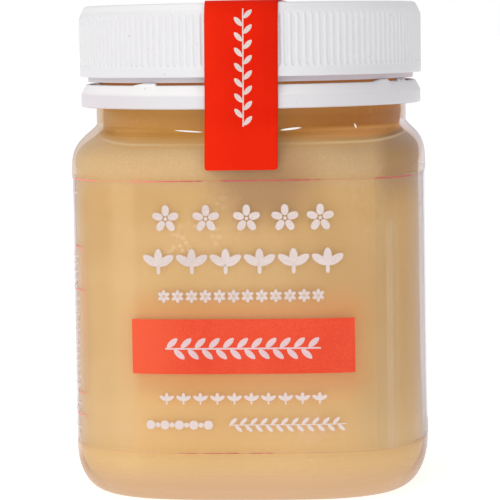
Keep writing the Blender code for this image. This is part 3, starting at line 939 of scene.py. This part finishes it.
# %% Print on the label
white_rows = [
    *blossoms([-12.0, -5.4, 1.2, 7.4, 13.1], 46.8, 4.5),
    *sprigs(np.linspace(-13.3, 14.2, 6), 40.3, 4.9),
    *blossoms(np.linspace(-12.5, 12.6, 12), 34.25, 2.1, petals=6),
    *sprigs(np.linspace(-12.3, 12.6, 10), 17.7, 2.3),
    *beads(-15.8, -4.8, 13.2, 1.5, 9),
    *laurel(-2.2, 16.8, 13.2, 1.5, 22),
]
side_heights = [50.6, 11.2, 15.3, *np.arange(40.0, 36.0, -1.3), *np.arange(32.8, 18.2, -1.3)]
print_ink("print_white", white_rows, on_label, white_ink)
print_ink("print_side", worn_rows(-54.0, -31.4, side_heights, 0.46), on_label, side_ink)
print_ink("print_red", block(*RED_BLOCK), on_label, red_ink)


def on_block(along, height, lift):
    """The red block's outer face."""
    return on_label(along, height, lift + INK + INK_GAP)


print_ink("print_garland", laurel(-12.4, 12.9, 25.7, 2.3, 21), on_block, rose_ink)

# %% [markdown]
# ## Fine pink lines
# Two hairlines run round the label near its edges, rubbed away in places, and a rounded frame stands on its
# left side. Each is a narrow ribbon. Where a line is worn, the ribbon only gets narrower, so it stays one
# clean strip.

# %% Hairlines and the side frame
FRAME_LEFT, FRAME_RIGHT, FRAME_LINE = -58.0, -28.9, 0.20


def hairline(strong, height, start=-100.0, end=100.0, thin=0.045, thick=0.21):
    """A line round the label: thick along the strong stretches, with small breaks, and thin elsewhere."""
    a = np.linspace(start, end, int((end - start) * 6))
    bold = np.zeros_like(a)
    for first, last in strong:
        bold = np.maximum(bold, np.clip(np.minimum(a - first, last - a) / 0.3, 0.0, 1.0))
    worn = np.clip(1.6 + np.sin(4.7 * a) + np.sin(2.9 * a + 1.0), 0.35, 1.0)
    return [ribbon(a, height, thin + (thick - thin) * bold * worn, 3)]


def side_frame(top, bottom, corner, dividers):
    """A frame with rounded corners, walked round once, and level lines across its width."""
    turn = np.linspace(0.0, 2 * np.pi, 240)
    half_a, half_b = (FRAME_RIGHT - FRAME_LEFT) / 2, (top - bottom) / 2
    a = half_a * np.sign(np.cos(turn)) * np.abs(np.cos(turn)) ** (2 / corner) + (FRAME_RIGHT + FRAME_LEFT) / 2
    b = half_b * np.sign(np.sin(turn)) * np.abs(np.sin(turn)) ** (2 / corner) + (top + bottom) / 2
    level = np.linspace(FRAME_LEFT, FRAME_RIGHT, 60)
    return [ribbon(a, b, FRAME_LINE, 3)] + [ribbon(level, height, FRAME_LINE, 3) for height in dividers]


top_line = hairline([(-40.0, -24.3), (-18.0, -5.8), (-3.1, 11.9), (12.3, 13.2), (22.1, 31.5)], 52.9)
low_line = hairline([(-10.4, -7.4), (-6.4, -0.4), (1.1, 5.0)], 8.56, thin=0.03, thick=0.13)
frame_lines = side_frame(41.6, 17.1, 24.0, [34.4, 13.5])
print_ink("print_lines", top_line + low_line + frame_lines, on_label, pink_ink)

# %% [markdown]
# ## Seal strip
# A strip of red paper runs over the lid and down to the shoulder. Its rule is a path seen from the side, with
# the paper bent round the lid where it touches it and flat where it lies on the body. Its lower corners are
# rounded. The paper has long fibres, so its fine pattern is stretched upwards.

# %% Strip finish
def make_red_paper():
    material, tree = new_finish("red_paper")
    x, _, z, where = place(tree)
    stretched = add(tree, "Mapping", i0=where, i3=(1.0, 1.0, 0.35)).outputs[0]
    fibres = noise(tree, stretched, 2400.0, 3.0, 0.6)
    wide = fade(tree, noise(tree, where, 90.0, 2.0), 0.35, 0.65)
    colour = blend_colours(tree, wide, (0.65, 0.011, 0.0010), (0.70, 0.014, 0.0014))
    # painted light and shade: lighter at the left and below the ring, darker up at the right
    colour = lay(tree, colour, (0.77, 0.020, 0.002), fade(tree, x, 1.0, -6.0), 0.6)
    colour = lay(tree, colour, (0.775, 0.021, 0.002), fade(tree, z, 64.0, 60.0, 0.0, 0.45))
    high_right = times(tree, fade(tree, x, 2.0, 6.0), fade(tree, z, 64.0, 70.0, 0.0, 0.5))
    colour = lay(tree, colour, (0.58, 0.009, 0.0006), high_right)
    colour = speckle(tree, colour, fibres, 0.12)
    bump = add(tree, "Bump", Strength=0.25, Distance=0.02 * MM, Height=fibres)
    shader = add(tree, "BsdfPrincipled", Base_Color=colour, Roughness=0.5, Specular_IOR_Level=0.05,
                 Normal=bump.outputs[0])
    return put_out(material, shader)


# %% The strip's path
STRIP_WIDTH, STRIP_THICKNESS, STRIP_GAP = 11.8, 0.15, 0.2
STRIP_BOTTOM, STRIP_END, STRIP_CENTRE, STRIP_LEAN = 54.6, 12.0, 0.5, 0.011
STRIP_LANDS, STRIP_CORNER, STRIP_FLAT = 59.2, 0.5, 0.6


def strip_path():
    """Reach in front of the axis, height, and share of the lid's curve, from the lower end up and over."""
    clear = STRIP_GAP + STRIP_THICKNESS / 2
    side, low, over, around = LID_RADIUS + clear, BODY_HALF + clear, LID_TOP + clear, RIM_ROUND + clear
    turn = np.linspace(RIM_TURN, 0.0, 9)
    rim = np.stack([RIM_RADIUS + around * np.sin(turn), LID_TOP - RIM_ROUND + around * np.cos(turn),
                    np.ones(9)], -1)
    lower = [(low, STRIP_BOTTOM, 0.0), (low, 57.0, 0.1), (low, STRIP_LANDS, 0.5), (side, RING_BOTTOM, 1.0),
             (side, COLLAR_BOTTOM, 1.0), (side, RIB_TOP - RIB_FADE, 1.0), (RIM_FOOT + clear, RIB_TOP, 1.0)]
    upper = [(RIM_RADIUS / 2, over, 0.3), (0.0, over, 0.0), (-STRIP_END, over, 0.0)]
    corners = np.concatenate([lower, rim, upper])
    walked = np.concatenate([[0.0], np.cumsum(np.linalg.norm(np.diff(corners[:, :2], axis=0), axis=1))])
    return walked, corners


STRIP_WALKED, STRIP_CORNERS = strip_path()
print("seal strip", round(float(STRIP_WALKED[-1]), 1), "mm long")


# %% The strip
def on_strip(across, along, lift=0.0):
    """The paper's middle surface, this far across it and this far along it from its lower end."""
    ease = np.linspace(-0.6, 0.6, 5)
    near = [[np.interp(along + step, STRIP_WALKED, STRIP_CORNERS[:, k]) for step in ease] for k in range(3)]
    reach, height, curve = (np.mean(v, axis=0) for v in near)
    reach = np.where(along < STRIP_FLAT, STRIP_CORNERS[0, 0], reach)
    height = np.where(along < STRIP_FLAT, STRIP_BOTTOM + along, height)
    x = STRIP_CENTRE + STRIP_LEAN * (height - STRIP_BOTTOM) + across
    bend = np.abs(reach) - np.sqrt(np.maximum(reach**2 - x**2, 0.0))
    y = np.where(np.abs(reach) > np.abs(x), curve * bend, 0.0) - reach
    on_top = np.interp(height, [81.0, 81.6], [0.0, 1.0])
    return np.stack(np.broadcast_arrays(x, y - lift * (1.0 - on_top), height + lift * on_top), -1)


def make_strip():
    total = STRIP_WALKED[-1]
    ends = STRIP_CORNER * (1 - np.cos(np.linspace(0.0, np.pi / 2, 7)))
    along = np.concatenate([ends, np.linspace(0.9, total - 0.9, 150), total - ends[::-1]])[:, None]
    into_corner = np.maximum(STRIP_CORNER - np.minimum(along, total - along), 0.0)
    inset = STRIP_CORNER - np.sqrt(np.maximum(STRIP_CORNER**2 - into_corner**2, 0.0))
    sheet = on_strip(np.linspace(-1.0, 1.0, 25)[None] * (STRIP_WIDTH / 2 - inset), along)
    faces = grid_faces(sheet.shape[0], sheet.shape[1], closed_across=False)
    strip = add_piece("seal_paper", sheet, faces, make_red_paper(), ["seal_strip"])
    thicken(strip, STRIP_THICKNESS)


make_strip()

# %% Ornament on the strip
def on_paper(across, along, lift):
    """The paper's outer face."""
    return on_strip(across, along, lift + STRIP_THICKNESS / 2 + INK_GAP)


def leaf_column(across, start, end, leaf, count):
    """Leaves climbing a fine stem, to the left and right in turn."""
    at, side = leaf_steps(start, end, leaf, count)
    leaves = ovals(across + side * 0.40 * leaf, at, 90.0 - 42.0 * side, leaf, 0.42 * leaf, 1.3)
    return [ribbon(across, np.linspace(start, end, 120), 0.22), leaves]


print_ink("print_seal", leaf_column(0.35, 7.0, 26.0, 1.9, 15), on_paper, white_ink)

# %% [markdown]
# ## Floor, light and camera
# The photograph is a cut-out on white with broad, soft light from the front left. A white world and a white
# floor give that ground, two large panels give the light its side, and the camera is a long lens a little
# right of the front and a little above the shoulder, tipped down by five degrees.

# %% Floor and world
def make_floor():
    mesh = bpy.data.meshes.new("floor")
    mesh.from_pydata([(-6, -6, 0), (6, -6, 0), (6, 30, 0), (-6, 30, 0)], [], [(0, 1, 2, 3)])
    material, tree = new_finish("floor_white")
    shader = add(tree, "BsdfPrincipled", Base_Color=(0.55, 0.55, 0.55), Roughness=0.8,
                 Emission_Color=(1, 1, 1), Emission_Strength=0.68)
    mesh.materials.append(put_out(material, shader))
    floor = put_in_scene("floor", mesh)


def make_world():
    """White to the camera; to everything else grey in front, paler behind and palest low down."""
    world = bpy.data.worlds.new("white_room")
    world.use_nodes = True
    tree = world.node_tree
    tree.nodes.clear()
    way = add(tree, "SeparateXYZ", i0=add(tree, "TexCoord").outputs["Generated"])
    behind = fade(tree, way.outputs[1], -0.2, 0.6)
    room = blend_colours(tree, behind, (0.52, 0.52, 0.53), (0.76, 0.76, 0.78))
    room = blend_colours(tree, fade(tree, way.outputs[2], 0.30, -0.02), room, (0.82, 0.82, 0.83))
    seen = blend_colours(tree, add(tree, "LightPath").outputs["Is Camera Ray"], room, (1, 1, 1))
    add(tree, "OutputWorld", Surface=add(tree, "Background", Color=seen, Strength=1.0).outputs[0])
    bpy.context.scene.world = world


make_floor()
make_world()

# %% Lamps
def frame_matrix(right, up, back, where):
    """The matrix that stands an object at a place in metres, looking away from its back."""
    return Matrix([[right[k], up[k], back[k], where[k]] for k in range(3)] + [[0, 0, 0, 1]])


def add_panel(name, place_mm, aim_mm, width_mm, height_mm, watts, colour):
    """A flat lamp at a place, turned towards a point, that shows neither itself nor a mirror image."""
    lamp = bpy.data.lights.new(name, "AREA")
    lamp.shape = "RECTANGLE"
    lamp.size, lamp.size_y = width_mm * MM, height_mm * MM
    lamp.energy = watts
    lamp.color = colour
    panel = put_in_scene(name, lamp)
    where, aim = np.array(place_mm) * MM, np.array(aim_mm) * MM
    back = (where - aim) / np.linalg.norm(where - aim)
    right = np.cross([0, 0, 1], back)
    right /= np.linalg.norm(right)
    panel.matrix_world = frame_matrix(right, np.cross(back, right), back, where)
    panel.visible_camera = False
    panel.visible_glossy = False
    print(name, watts, "W")


add_panel("key_panel", (-350, -600, 520), (0, 0, 45), 900, 600, 3.2, (1.0, 0.99, 0.97))
add_panel("fill_panel", (430, -380, 200), (0, 0, 40), 260, 360, 0.35, (0.97, 0.98, 1.0))

# %% Camera
LENS, SENSOR = 168.75, 36.0
EYE = np.array([31.0, -405.0, 76.14])
PITCH, ROLL, SIDESTEP = 0.0913, -0.0165, -0.594


def make_camera():
    """Looks level at the jar's axis, then is tipped down by the pitch, rolled and moved a little sideways."""
    level = -EYE * [1, 1, 0]
    level = level / np.linalg.norm(level)
    right = np.cross(level, [0, 0, 1])
    forward = math.cos(PITCH) * level - math.sin(PITCH) * np.array([0, 0, 1])
    up = np.cross(right, forward)
    right, up = math.cos(ROLL) * right + math.sin(ROLL) * up, -math.sin(ROLL) * right + math.cos(ROLL) * up
    eye = EYE + SIDESTEP * right
    camera = bpy.data.cameras.new("camera")
    camera.lens, camera.sensor_width = LENS, SENSOR
    camera.clip_start, camera.clip_end = 0.01, 60.0
    seat = put_in_scene("camera", camera)
    seat.matrix_world = frame_matrix(right, up, -forward, eye * MM)
    bpy.context.scene.camera = seat


make_camera()
bpy.context.scene.view_settings.view_transform = "Standard"
